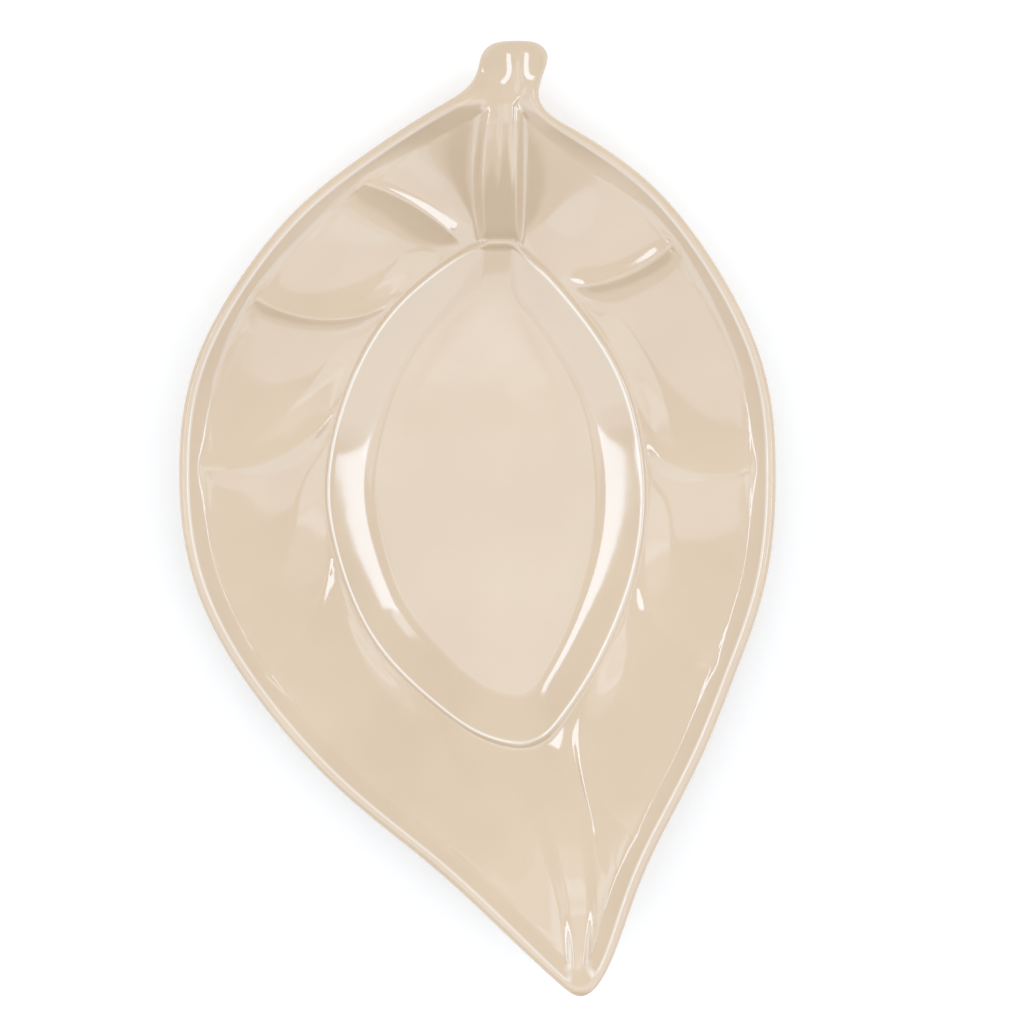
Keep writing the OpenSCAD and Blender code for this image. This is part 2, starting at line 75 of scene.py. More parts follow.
# The same lengths as in the solids, then shares and places that shape the surface between them. Only coatTuck is
# this script's own.
leaf = {
    "length": 282, "width": 188, "rimHeight": 26.5, "stalkRise": 4, "tipRise": 5, "wall": 5, "glaze": 0.4,
    "lipWidth": 3.8, "lipBand": 4, "lipDrop": 3.8,
    "wellLength": 156, "wellWidth": 98, "wellDepth": 6.2, "wellCurve": 15.5, "beadWidth": 2.8, "beadHeight": 0.7,
    "veinHeight": 1.7, "veinWidth": 3.4, "veinRound": 0.9, "lobeHollow": 1.2, "lobeWidth": 32,
    "midribHeight": 2.2, "midribSide": 4, "tipRidge": 1.6,
    "stalkLength": 18.6, "stalkWidth": 21.4, "stalkThickness": 15, "stalkCrown": 1,
    "stalkFall": 5.5, "stalkRound": 4, "endBend": 1.5, "neckDip": 2.4,
    "footHeight": 4, "footWidth": 5, "baseInset": 6, "footInset": 2.5, "coatTuck": (0.8, 1.2),
    "stalkX": 0.063, "wellPlace": (0.014, 0.561), "tipLip": (0.85, 1.35, 0.85),
    "lipStraight": 0.3, "lipPower": 1.5, "rollTilt": 45,
    "bladeSlope": 0.75, "neckSlope": 0.8, "neckPower": 1.6,
    "wellRound": 0.3, "beadStep": 0.5, "beadCrest": 0.3, "underRib": 0.35, "hollowMiddle": 0.35,
    "veinStart": (0, 0.22), "midribStart": (-0.1, 0.08), "lowerMidribStart": (0, 0.6), "ribEnd": (0.85, 1.3),
    "tipRidgePlaces": (0.75, 1), "tipSide": 0.8, "lowerSide": 1.8,
    "stalkPowers": (1.4, 1.7), "stalkFlat": (0.5, 1), "stalkFallStart": (-0.1, 0.5), "endBendStart": 0.5,
}

# Stations run anticlockwise from the middle of the stalk's end, down the left side, round the tip and back up.
# The stalk and the neck are in shares of the stalk's width and length, the rest in shares of the leaf or the well.
stalkLeft = [(0.05, 1), (-0.3, 0.985), (-0.485, 0.8), (-0.545, 0.51), (-0.735, 0.17)]
stalkRight = [(0.35, 0.02), (0.43, 0.46), (0.5, 0.78), (0.33, 0.985)]
neckLeft = [(-0.125, -0.076), (-0.155, -0.08), (-0.19, -0.085), (-0.24, -0.1), (-0.32, -0.14), (-0.44, -0.22)]
neckRight = [(0.45, -0.55), (0.25, -0.3), (0.03, -0.14), (-0.01, -0.1), (-0.05, -0.085), (-0.09, -0.08)]
leafEdge = [
    (-0.075, 0.989), (-0.13, 0.966), (-0.21, 0.929), (-0.309, 0.875), (-0.404, 0.794),
    (-0.478, 0.698), (-0.498, 0.59), (-0.478, 0.466), (-0.383, 0.346), (-0.234, 0.231),
    (-0.08, 0.149), (0.045, 0.071), (0.132, 0.018), (0.177, 0), (0.219, 0.029),
    (0.257, 0.097), (0.299, 0.166), (0.376, 0.263), (0.433, 0.361), (0.488, 0.466),
    (0.5, 0.592), (0.475, 0.723), (0.356, 0.859), (0.259, 0.925), (0.172, 0.964), (0.131, 0.98),
]
wellEdge = [
    (0.048, 1), (0.038, 1), (0.029, 1), (0.018, 1), (0.01, 0.999), (0.002, 0.998), (-0.013, 0.996),
    (-0.038, 0.99), (-0.115, 0.963), (-0.263, 0.887), (-0.372, 0.792), (-0.449, 0.679),
    (-0.497, 0.545), (-0.481, 0.41), (-0.372, 0.22), (-0.183, 0.095), (-0.038, 0.024),
    (0.083, 0), (0.141, 0.002), (0.196, 0.018), (0.244, 0.055), (0.304, 0.109), (0.385, 0.202),
    (0.468, 0.339), (0.497, 0.475), (0.481, 0.604), (0.404, 0.768), (0.215, 0.921),
    (0.173, 0.947), (0.141, 0.967), (0.115, 0.986), (0.093, 0.997), (0.08, 0.999), (0.069, 1), (0.058, 1),
]
# how far each column bows sideways, as a share of its length
bow = [
    0, 0, 0, 0.01, 0.05, 0.02, -0.05, -0.07, 0.04, 0.13, 0.14, 0.13, 0.1, 0.085, 0.09, 0.1, 0.06, 0.05, 0.06, 0.08,
    0.03, -0.15, -0.14, -0.11, -0.13, -0.15, -0.13, -0.1, -0.06, -0.03, 0, 0, 0, 0, 0,
]
# how far each station belongs to the stalk, and how high the well's edge stands there
stalkPart = [1, 1, 1, 1, 0.9, 0.35] + [0] * 23 + [0.1, 0.5, 0.9, 1, 1, 1]
edgePart = [0.5] * 6 + [0.52, 0.6, 0.75, 0.92] + [1] * 6 + [0.92, 0.75, 0.65, 0.78, 0.95] + [1] * 6 \
    + [0.9, 0.8, 0.68, 0.58, 0.52, 0.5, 0.5, 0.5]
# first and last station of each rib: a side vein has one station, the midrib spans several at the tip and the neck
ribs = [
    (-4, 4), (7, 7), (9, 9), (11, 11), (13, 13), (15, 15), (17.5, 18.5),
    (21, 21), (23, 23), (25, 25), (27, 27), (31, 39),
]
ribHeights = [1, 1, 1, 0.9, 0.4, 0.25, 0.15, 0.12, 0.35, 0.8, 1, 1]
lowerMidrib = 6  # its place in the list
tipStation = 18
stationCount = len(wellEdge)


def smooth(t):
    c = np.clip(t, 0, 1)
    return c * c * (3 - 2 * c)


def smoothBetween(ends, x):
    return smooth((x - ends[0]) / (ends[1] - ends[0]))


# control points of a closed cubic spline that passes close to the points
def splineControls(points):
    p = np.asarray(points, float)
    return p - (np.roll(p, 1, 0) - 2 * p + np.roll(p, -1, 0)) / 6


def along(controls, s):
    n = len(controls)
    i = np.floor(s).astype(int)
    t = s - i
    r = 1 - t
    weights = (r ** 3, 3 * t ** 3 - 6 * t ** 2 + 4, 3 * r ** 3 - 6 * r ** 2 + 4, t ** 3)
    total = 0
    for k, weight in enumerate(weights):
        value = controls[(i - 1 + k) % n]
        total = total + (weight[:, None] * value if value.ndim == 2 else weight * value)
    return total / 6


def unit(v):
    return v / np.linalg.norm(v, axis=-1, keepdims=True)


def onStalk(shares):
    a = np.asarray(shares, float)
    return np.stack([
        leaf["stalkX"] * leaf["width"] + a[:, 0] * leaf["stalkWidth"],
        leaf["length"] + a[:, 1] * leaf["stalkLength"],
    ], 1)


leafSize = np.array([leaf["width"], leaf["length"]], float)
wellMiddle = np.array(leaf["wellPlace"]) * leafSize
rimPoints = np.concatenate([onStalk(stalkLeft), np.array(leafEdge) * leafSize, onStalk(stalkRight)])
wellPoints = wellMiddle + (np.array(wellEdge) - (0, 0.5)) * (leaf["wellWidth"], leaf["wellLength"])
lipReach = leaf["lipWidth"] + leaf["lipBand"]
chord = np.roll(rimPoints, -1, 0) - np.roll(rimPoints, 1, 0)
reach = np.full((stationCount, 1), lipReach)
reach[tipStation - 1:tipStation + 2, 0] *= leaf["tipLip"]
lipFoot = rimPoints + unit(np.stack([-chord[:, 1], chord[:, 0]], 1)) * reach
stalkBed = np.zeros_like(lipFoot)
stalkBed[:len(neckLeft)] = onStalk(neckLeft)
stalkBed[-len(neckRight):] = onStalk(neckRight)
onBed = np.array(stalkPart)[:, None]
lipFoot = np.where(onBed > 0, lipFoot * (1 - onBed) + stalkBed * onBed, lipFoot)

splines = {
    "rim": splineControls(rimPoints), "well": splineControls(wellPoints), "foot": splineControls(lipFoot),
    "bow": splineControls(bow), "stalk": splineControls(stalkPart), "edge": splineControls(edgePart),
}
floorZ = leaf["footHeight"] + leaf["wall"] + leaf["glaze"]
baseZ = leaf["footHeight"] - leaf["glaze"]
coatWall = leaf["wall"] + 2 * leaf["glaze"]


# the rim is lowest beside the well, and rises towards the stalk and the tip
def rimZ(y):
    up = (y - wellMiddle[1]) / (leaf["length"] + leaf["stalkLength"] - wellMiddle[1])
    down = (wellMiddle[1] - y) / wellMiddle[1]
    rise = leaf["stalkRise"] * np.maximum(up, 0) ** 2 + leaf["tipRise"] * np.maximum(down, 0) ** 2
    return leaf["rimHeight"] + rise


# what the rings need to know of the columns at the places s along the stations; c in the functions below
def columnsAt(s):
    rim = along(splines["rim"], s)
    return {
        "s": s, "rim": rim, "well": along(splines["well"], s), "foot": along(splines["foot"], s),
        "bow": along(splines["bow"], s), "stalk": np.clip(along(splines["stalk"], s), 0, 1),
        "edge": floorZ + leaf["wellDepth"] * along(splines["edge"], s), "rimZ": rimZ(rim[:, 1]),
    }


# where a ring lies, seen from above: each zone is crossed by its share, from the well outwards and back underneath
def planOf(zone, share, c):
    inwards = unit(wellMiddle - c["well"])
    outwards = unit(c["foot"] - c["well"])
    beadFoot = c["well"] + outwards * leaf["beadWidth"]
    line = c["foot"] - beadFoot
    if zone == "floor":
        return wellMiddle * (1 - share) + (c["well"] + inwards * leaf["wellCurve"]) * share
    if zone == "curve":
        return c["well"] + inwards * leaf["wellCurve"] * share
    if zone == "bead":
        return c["well"] + outwards * leaf["beadWidth"] * share
    if zone in ("blade", "underBlade"):
        side = np.stack([-line[:, 1], line[:, 0]], 1)
        return beadFoot + line * share + side * (c["bow"] * 4 * share * (1 - share))[:, None]
    if zone in ("lip", "underLip"):
        return c["rim"] * (1 - share) + c["foot"] * share
    return c["well"] + inwards * (leaf["baseInset"] + leaf["footInset"] * share)


# 0 at the well's edge, 1 at the lip's foot, 2 at the rim
def ringPlace(zone, share):
    if zone == "bead":
        return 0.0
    if zone in ("blade", "underBlade"):
        return share
    return 2 - share


def distance(a, b):
    return np.linalg.norm(a - b, axis=-1)


# a vein's cross section, round on top and fading to both sides
def pinch(d):
    return np.exp(-(np.sqrt(d * d + leaf["veinRound"] ** 2) - leaf["veinRound"]) / leaf["veinWidth"])


def stationPoint(s, zone, share):
    return planOf(zone, share, columnsAt(np.array([float(s % stationCount)])))[0]


# 1 between the midrib's first and last station, fading out to both sides
def midribBand(k, zone, share, c, point):
    start, end = (stationPoint(s, zone, share) for s in ribs[k])
    width = leaf["midribSide"]
    if k == lowerMidrib:
        width *= leaf["lowerSide"] + (leaf["tipSide"] - leaf["lowerSide"]) * min(ringPlace(zone, share), 1)
    side = 1 - smooth(np.minimum(distance(point, start), distance(point, end)) / width)
    return np.where((c["s"] >= ribs[k][0]) & (c["s"] <= ribs[k][1]), 1, side)


def ribHeight(zone, share, c, point):
    place = ringPlace(zone, share)
    midrib = np.zeros(len(c["s"]))
    vein = np.zeros(len(c["s"]))
    for k, (first, last) in enumerate(ribs):
        if first != last:
            start = leaf["lowerMidribStart"] if k == lowerMidrib else leaf["midribStart"]
            band = midribBand(k, zone, share, c, point)
            midrib = np.maximum(midrib, ribHeights[k] * smoothBetween(start, place) * band)
        else:
            vein = np.maximum(vein, ribHeights[k] * pinch(distance(point, stationPoint(first, zone, share))))
    vein = vein * smoothBetween(leaf["veinStart"], place)
    top = leaf["midribHeight"] * midrib + leaf["veinHeight"] * vein * (1 - midrib)
    climb = smoothBetween(leaf["tipRidgePlaces"], place)
    if zone == "lip":
        climb = -lipTop(share * lipReach) / leaf["lipDrop"]
    lower = midribBand(lowerMidrib, zone, share, c, point)
    return top * (1 - smoothBetween(leaf["ribEnd"], place)) + leaf["tipRidge"] * climb * lower


# the lobes are hollowed between two ribs, less where the ribs run close together
def hollowDepth(zone, share, c):
    place = ringPlace(zone, share)
    part = np.zeros(len(c["s"]))
    for (_, last), (first, _) in zip(ribs[:-1], ribs[1:]):
        gap = distance(stationPoint(last, zone, share), stationPoint(first, zone, share))
        inside = (c["s"] > last) & (c["s"] < first)
        swell = np.sin(np.pi * (c["s"] - last) / (first - last)) ** 2
        part = np.where(inside, swell * smooth(gap / leaf["lobeWidth"]), part)
    middle = leaf["hollowMiddle"]
    fall = place / middle if place < middle else (leaf["ribEnd"][1] - place) / (leaf["ribEnd"][1] - middle)
    return leaf["lobeHollow"] * part * smooth(fall)


# The blade's rise at a point follows from how near it is to the whole of the lip's foot and the well's edge,
# so that it has no creases between the columns
linePoints = 8  # to a station
linePlaces = np.arange(stationCount * linePoints) / linePoints
footLine = along(splines["foot"], linePlaces)
wellLine = along(splines["well"], linePlaces)
wellLine = wellLine + unit(footLine - wellLine) * leaf["beadWidth"]


def pull(line, point):
    lengths = np.linalg.norm(np.roll(line, -1, 0) - line, axis=1)
    gaps = point[:, None, :] - line[None, :, :]
    return (lengths / (gaps ** 2).sum(2)).sum(1)


def riseAt(share, point):
    if share <= 0 or share >= 1:
        return np.full(len(point), float(share))
    up = pull(footLine, point)
    return up / (up + pull(wellLine, point))


# how far the stalk's top falls from the ridge along its middle to its sides, and down to its end
def stalkFallAt(point):
    across = np.abs(point[:, 0] - rimPoints[0, 0]) / (leaf["stalkWidth"] / 2)
    place = (point[:, 1] - leaf["length"]) / leaf["stalkLength"]
    flat = smoothBetween(leaf["stalkFlat"], place)
    power = leaf["stalkPowers"][0] * (1 - flat) + leaf["stalkPowers"][1] * flat
    side = leaf["stalkFall"] * np.minimum(across, 1) ** power * smoothBetween(leaf["stalkFallStart"], place)
    bend = np.maximum(place - leaf["endBendStart"], 0) / (1 - leaf["endBendStart"])
    return side + leaf["endBend"] * bend ** 2


def footTop(c):
    neck = c["rimZ"] + leaf["stalkCrown"] - leaf["neckDip"] - stalkFallAt(c["foot"])
    return (c["rimZ"] - leaf["lipDrop"]) * (1 - c["stalk"]) + neck * c["stalk"]


def bladeTop(c, share, point):
    start = c["edge"] - leaf["beadHeight"]
    part = riseAt(share, point)
    straight = leaf["bladeSlope"] * (1 - c["stalk"]) + leaf["neckSlope"] * c["stalk"]
    return start + (footTop(c) - start) * part * (straight + (1 - straight) * part)


lipRadius = leaf["lipWidth"] / 2
rollEnd = lipRadius * (1 + math.sin(math.radians(leaf["rollTilt"])))


# height of the rolled lip's round top over its middle, at a distance from its outer side
def roll(d):
    return math.sqrt(max(0, lipRadius ** 2 - (lipRadius - min(d, leaf["lipWidth"])) ** 2))


def lipTop(d):
    if d <= rollEnd:
        return roll(d) - lipRadius
    t = (d - rollEnd) / (lipReach - rollEnd)
    part = (1 - leaf["lipStraight"]) * (1 - (1 - t) ** leaf["lipPower"]) + leaf["lipStraight"] * t
    return (roll(rollEnd) - lipRadius) * (1 - part) - leaf["lipDrop"] * part


# how far the stalk's side has turned up to its top, or down to its underside, at a share of the way in from the rim
def rounded(share, c, radius):
    d = np.minimum(share * distance(c["foot"], c["rim"]) / radius, 1)
    return np.sqrt(1 - (1 - d) ** 2)


def stalkTop(share, c, point):
    edge = (leaf["stalkThickness"] / 2 - leaf["stalkFall"]) * (1 - rounded(share, c, leaf["stalkRound"]))
    return c["rimZ"] + leaf["stalkCrown"] - stalkFallAt(point) - edge - leaf["neckDip"] * share ** leaf["neckPower"]


def stalkUnder(share, c):
    half = leaf["stalkThickness"] / 2
    return c["rimZ"] + leaf["stalkCrown"] - half * (1 + rounded(share, c, leaf["stalkWidth"] / 2))


# the well's wall, which curves up from the floor and then runs straight
def curveRise(t):
    return math.hypot(t, leaf["wellRound"]) - leaf["wellRound"]


def heightOf(zone, share, c, point):
    relief = 0
    if zone in ("bead", "blade", "lip", "underLip", "underBlade"):
        relief = ribHeight(zone, share, c, point) - hollowDepth(zone, share, c)
    if zone == "floor":
        return np.full(len(point), floorZ)
    if zone == "curve":
        rise = c["edge"] - floorZ - leaf["beadHeight"] * leaf["beadStep"]
        return floorZ + rise * curveRise(1 - share) / curveRise(1)
    if zone == "bead":
        crest = leaf["beadCrest"]
        drop = leaf["beadStep"] * (1 - share / crest) if share < crest else ((share - crest) / (1 - crest)) ** 2
        return c["edge"] + relief * share - leaf["beadHeight"] * drop
    if zone == "blade":
        return bladeTop(c, share, point) + relief
    if zone == "lip":
        lip = c["rimZ"] + lipTop(share * lipReach)
        return lip * (1 - c["stalk"]) + stalkTop(share, c, point) * c["stalk"] + relief
    if zone == "underLip":
        d = share * lipReach
        under = c["rimZ"] + (-lipRadius - roll(d) if d < lipRadius else lipTop(d) - coatWall)
        return under * (1 - c["stalk"]) + stalkUnder(share, c) * c["stalk"]
    if zone == "underBlade":
        mix = c["stalk"] * share * share
        thick = coatWall * (1 - mix) + (leaf["stalkThickness"] - leaf["neckDip"]) * mix
        return bladeTop(c, share, point) - thick + leaf["underRib"] * relief
    return np.full(len(point), baseZ)


# Columns of the mesh, as shares of the way from one station to the next: closer together beside a vein
columnShares = {"fromVein": (0, 0.12, 0.3, 0.6), "toVein": (0, 0.4, 0.7, 0.88), "between": (0, 0.5)}


def columnPlaces(finer):
    veins = [first for first, last in ribs if first == last]
    places = []
    for i in range(stationCount):
        shares = columnShares["fromVein" if i in veins else "toVein" if i + 1 in veins else "between"]
        for a, b in zip(shares, shares[1:] + (1,)):
            places += [i + a + (b - a) * k / finer for k in range(finer)]
    return np.array(places)


# even steps that leave out the start
def steps(start, end, count):
    return np.linspace(start, end, count + 1)[1:]


# Rings of the mesh from the floor of the well, out over the lip and back under the leaf. They stand closer together
# over the outer side of the lip, where it is round: from "lipRound" on above, and up to "underRound" below.
ringShares = {"floorFrom": 0.2, "nearLip": 0.993, "lipRound": 0.4, "underRound": 0.24, "underEnd": 0.1}
lipTurns = steps(1, 0, 13) * math.acos(1 - ringShares["lipRound"])
underTurns = steps(0, 1, 8) * math.pi / 2
ringPlan = [
    ("floor", np.linspace(ringShares["floorFrom"], 1, 6)),
    ("curve", steps(1, 0, 15)),
    ("bead", steps(0, 1, 10)),
    ("blade", np.append(steps(0, 1, 39)[:-1], (ringShares["nearLip"], 1))),
    ("lip", np.append(steps(1, ringShares["lipRound"], 12), 1 - np.cos(lipTurns))),
    ("underLip", np.append(
        ringShares["underRound"] * (1 - np.cos(underTurns)), steps(ringShares["underRound"], 1, 8))),
    ("underBlade", steps(1, ringShares["underEnd"], 21)),
    ("base", np.linspace(0, 1, 3)),
]


# Painted highlight: a pale colour mixed into the glaze that stands in for the bright reflections along sharp edges.
# It runs along the well's edge, inside the lip (fainter over its far half) and up both flanks of the midrib at the
# tip. The lines' places and widths on the bead and the lip are in millimetres.
paintedHighlightLines = {
    "beadCrest": 0.85, "beadSpread": 0.4, "edgeFrom": (0.5, 0.85),
    "lipLine": 2.9, "lipSpread": 0.28, "lipFades": (0.56, 0.68), "lipFar": 0.75,
    "flank": 0.5, "flankSpread": 0.25, "flankFrom": (0.8, 0.95), "flankTo": (1.55, 1.7),
}


# how strong the painted highlight is at the ring's points: 1 on the highlight lines, 0 away from them
def paintedHighlightAt(zone, share, c, point):
    if zone == "bead":
        off = (share * leaf["beadWidth"] - paintedHighlightLines["beadCrest"]) / paintedHighlightLines["beadSpread"]
        edge = along(splines["edge"], c["s"])
        return math.exp(-off * off) * smoothBetween(paintedHighlightLines["edgeFrom"], edge)
    if zone not in ("blade", "lip"):
        return np.zeros(len(c["s"]))
    lower = midribBand(lowerMidrib, zone, share, c, point)
    place = ringPlace(zone, share)
    off = (lower - paintedHighlightLines["flank"]) / paintedHighlightLines["flankSpread"]
    flank = np.exp(-off * off) * smoothBetween(paintedHighlightLines["flankFrom"], place) \
        * (1 - smoothBetween(paintedHighlightLines["flankTo"], place))
    if zone == "blade":
        return flank
    off = (share * lipReach - paintedHighlightLines["lipLine"]) / paintedHighlightLines["lipSpread"]
    far = smoothBetween(paintedHighlightLines["lipFades"], c["rim"][:, 1] / leaf["length"])
    lip = math.exp(-off * off) * (1 - (1 - paintedHighlightLines["lipFar"]) * far)
    return np.maximum(flank, lip * (1 - c["stalk"]) * (1 - smooth(2 * lower)))


# the rings' points, and how strong the painted highlight is at each of them
def leafSurface(columns):
    rows, paintedHighlight = [], []
    for zone, shares in ringPlan:
        for share in shares:
            point = planOf(zone, float(share), columns)
            z = heightOf(zone, float(share), columns, point)
            rows.append(np.column_stack([point, z]))
            paintedHighlight.append(paintedHighlightAt(zone, float(share), columns, point))
    return rows, paintedHighlight


def footOutline(inset):
    inwards = leaf["baseInset"] + leaf["footInset"] + inset
    return columns["well"] + unit(wellMiddle - columns["well"]) * inwards


def atHeight(points, z):
    return np.column_stack([points, np.full(len(points), z)])


columns = columnsAt(columnPlaces(3))  # three for each column of the solids
surface, paintedHighlight = leafSurface(columns)
# the coat's inner end is tucked in above the foot ring
surface += [atHeight(footOutline(tuck), z) for tuck, z in zip(leaf["coatTuck"], (baseZ, leaf["footHeight"]))]
paintedHighlight += [np.zeros(len(columns["s"]))] * len(leaf["coatTuck"])
# the frame's origin is under the middle of the solids' outline
rim = along(splines["rim"], columnPlaces(1))
middle = np.array([(rim[:, 0].max() + rim[:, 0].min()) / 2, (rim[:, 1].max() + rim[:, 1].min()) / 2, 0])
print("leaf surface worked out:", len(surface), "rings of", len(columns["s"]))


weldWithin = 0.001  # millimetres


def extrudeRings(name, rings, closeFirst=True, closeLast=True, joinEnds=False):
    # a circle is extruded once for each ring, then every vertex goes to its place on the surface
    deselectAll()
    count = len(rings[0])
    bpy.ops.mesh.primitive_circle_add(vertices=count, radius=leaf["width"] / 2 * mm)
    piece = bpy.context.object
    piece.name = name
    bpy.ops.object.mode_set(mode="EDIT")
    bm = bmesh.from_edit_mesh(piece.data)
    columnLayer = bm.verts.layers.int.new("column")
    ringLayer = bm.verts.layers.int.new("ring")
    bm.verts.ensure_lookup_table()
    for i, v in enumerate(bm.verts):
        v[columnLayer] = i
        v[ringLayer] = 0
    bmesh.update_edit_mesh(piece.data)
    bpy.ops.mesh.select_all(action="SELECT")
    for j in range(1, len(rings)):
        bpy.ops.mesh.extrude_region_move(TRANSFORM_OT_translate={"value": (0, 0, -mm)})
        bm = bmesh.from_edit_mesh(piece.data)
        ringLayer = bm.verts.layers.int["ring"]
        for v in bm.verts:
            if v.select:
                v[ringLayer] = j
        bmesh.update_edit_mesh(piece.data)
    bm = bmesh.from_edit_mesh(piece.data)
    columnLayer = bm.verts.layers.int["column"]
    ringLayer = bm.verts.layers.int["ring"]
    for v in bm.verts:
        v.co = (rings[v[ringLayer]][v[columnLayer]] - middle) * mm
    bmesh.update_edit_mesh(piece.data)
    for wanted, closed in ((0, closeFirst), (len(rings) - 1, closeLast)):
        if not closed:
            continue
        bpy.ops.mesh.select_all(action="DESELECT")
        bm = bmesh.from_edit_mesh(piece.data)
        ringLayer = bm.verts.layers.int["ring"]
        for v in bm.verts:
            v.select = v[ringLayer] == wanted
        bm.select_flush_mode()
        bmesh.update_edit_mesh(piece.data)
        bpy.ops.mesh.extrude_region_move()
        bpy.ops.mesh.merge(type="CENTER")
    bpy.ops.mesh.select_all(action="SELECT")
    if joinEnds:
        bpy.ops.mesh.remove_doubles(threshold=weldWithin * mm)
    bpy.ops.mesh.normals_make_consistent(inside=False)
    bpy.ops.object.mode_set(mode="OBJECT")
    bpy.ops.object.shade_smooth()
    return piece


glazedLeaf = extrudeRings("glazed_leaf", surface)
ringOf, columnOf = (
    [value.value for value in glazedLeaf.data.attributes[layer].data] for layer in ("ring", "column"))
# each vertex keeps how strong the painted highlight is there, for the glaze's colour
paintedHighlightLayer = glazedLeaf.data.attributes.new("painted_highlight", "FLOAT", "POINT")
paintedHighlightLayer.data.foreach_set("value", [float(paintedHighlight[j][i]) for j, i in zip(ringOf, columnOf)])
print("glazed leaf:", len(glazedLeaf.data.polygons), "faces")
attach(glazedLeaf, "root")
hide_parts("leaf_body", "stalk", "glaze_coat")


foot = {"edgeRound": 0.9, "wallLean": 0.35, "topSink": 0.3, "wallSteps": 3, "roundSteps": 5}


def footRings():
    # down the ring's outer wall, under it and up its inner wall, both leaning and rounded at the bottom
    width, r, lean = leaf["footWidth"], foot["edgeRound"], foot["wallLean"]
    top = baseZ + foot["topSink"]
    path = [(0, top), (0, baseZ)]
    path += [(lean * t, baseZ + (r - baseZ) * t) for t in steps(0, 1, foot["wallSteps"])]
    turns = steps(0, math.pi / 2, foot["roundSteps"])
    path += [(lean + r * (1 - math.cos(a)), r * (1 - math.sin(a))) for a in turns]
    path.append((width / 2, 0))
    turns = np.append(math.pi / 2, steps(math.pi / 2, 0, foot["roundSteps"]))
    path += [(width - lean - r * (1 - math.cos(a)), r * (1 - math.sin(a))) for a in turns]
    path += [(width - lean * (1 - t), r + (top - r) * t) for t in steps(0, 1, foot["wallSteps"])]
    rows = [atHeight(footOutline(inset), z) for inset, z in path]
    return rows + rows[:1]


footRing = extrudeRings("foot_ring_clay", footRings(), closeFirst=False, closeLast=False, joinEnds=True)
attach(footRing, "root")
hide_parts("foot_ring")
print("foot ring modelled")


basePanelPlan = {"rise": 0.5, "creep": 1.6, "underRing": (0.4, 0.3), "middle": 0.85, "creepSteps": 8, "floorSteps": 4}


def panelRings():
    # the glaze panel inside the foot ring, whose edge creeps a little way down the ring's wall
    width, rise, creep = leaf["footWidth"], basePanelPlan["rise"], basePanelPlan["creep"]
    heights = (leaf["footHeight"], baseZ - rise)
    rows = [atHeight(footOutline(width - under), z) for under, z in zip(basePanelPlan["underRing"], heights)]
    for t in np.append(0, steps(0, 1, basePanelPlan["creepSteps"])):
        rows.append(atHeight(footOutline(width + creep * t), baseZ - rise * (1 - t) ** 3))
    outer = footOutline(width + creep)
    for t in steps(0, basePanelPlan["middle"], basePanelPlan["floorSteps"]):
        rows.append(atHeight(outer + (wellMiddle - outer) * t, baseZ))
    return rows


basePanel = extrudeRings("base_glaze_panel", panelRings())
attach(basePanel, "root")
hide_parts("base_glaze")
print("base glaze panel modelled")


# Beige tin-opaque stoneware glaze, poured and fired glossy: even colour, faint clouding where it pooled, a painted
# highlight in a pale colour along the sharp edges, and the slow ripple of a glass that ran while it melted.
# Sizes and depths in millimetres.
glazeLook = {
    "pale": "#DCC3A5", "deep": "#D5BB9D", "paintedHighlight": "#F8EFE4",
    "cloudSize": 38, "cloudDetail": 3.0, "cloudBreakUp": 0.5, "cloudEnds": (0.3, 0.7),
    "rippleSize": 9, "rippleDetail": 1.0, "rippleBreakUp": 0.4, "rippleDepth": 0.02,
    "roughness": 0.07, "ior": 1.6, "shine": 1.0,
}


def mottling(tree, place, look, what):
    noise = addNode(tree, "ShaderNodeTexNoise", {
        "Vector": place, "Scale": 1 / (look[what + "Size"] * mm), "Detail": look[what + "Detail"],
        "Roughness": look[what + "BreakUp"]})
    return noise.outputs["Fac"]


def tintBetween(tree, amount, ends, colours):
    tint = addNode(tree, "ShaderNodeValToRGB", {"Fac": amount})
    for stop, end, colour in zip(tint.color_ramp.elements, ends, colours):
        stop.position = end
        stop.color = toLinear(colour)
    return tint.outputs["Color"]


def glazeMaterial(name, look):
    material, tree = newMaterial(name)
    place = addNode(tree, "ShaderNodeTexCoord").outputs["Object"]
    cloud = mottling(tree, place, look, "cloud")
    tint = tintBetween(tree, cloud, look["cloudEnds"], (look["deep"], look["pale"]))
    # painted highlight: the pale colour is mixed in wherever the mesh's painted highlight strength is high
    line = addNode(tree, "ShaderNodeAttribute", attribute_name="painted_highlight")
    # sockets 6 and 7 are the mix's two colours, and 2 is its result
    colour = addNode(tree, "ShaderNodeMix", {
        "Factor": line.outputs["Fac"], 6: tint, 7: toLinear(look["paintedHighlight"])}, data_type="RGBA")
    ripple = mottling(tree, place, look, "ripple")
    bump = addNode(tree, "ShaderNodeBump", {"Height": ripple, "Strength": 1.0, "Distance": look["rippleDepth"] * mm})
    glaze = addNode(tree, "ShaderNodeBsdfPrincipled", {
        "Base Color": colour.outputs[2], "Roughness": look["roughness"], "IOR": look["ior"],
        "Specular IOR Level": look["shine"], "Normal": bump.outputs["Normal"]})
    addNode(tree, "ShaderNodeOutputMaterial", {"Surface": glaze.outputs["BSDF"]})
    return material


# Bare stoneware biscuit, wiped with a sponge before firing: matt, pale buff, with fine grog of about half a
# millimetre
clayLook = {
    "buff": "#D3C2AB", "grog": "#B7A084", "roughness": 0.85,
    "grogSize": 0.6, "grogDetail": 2.0, "grogBreakUp": 0.7, "grogEnds": (0.32, 0.5),
    "grainSize": 2.2, "grainDetail": 5.0, "grainBreakUp": 0.7, "grainDepth": 0.05,
}


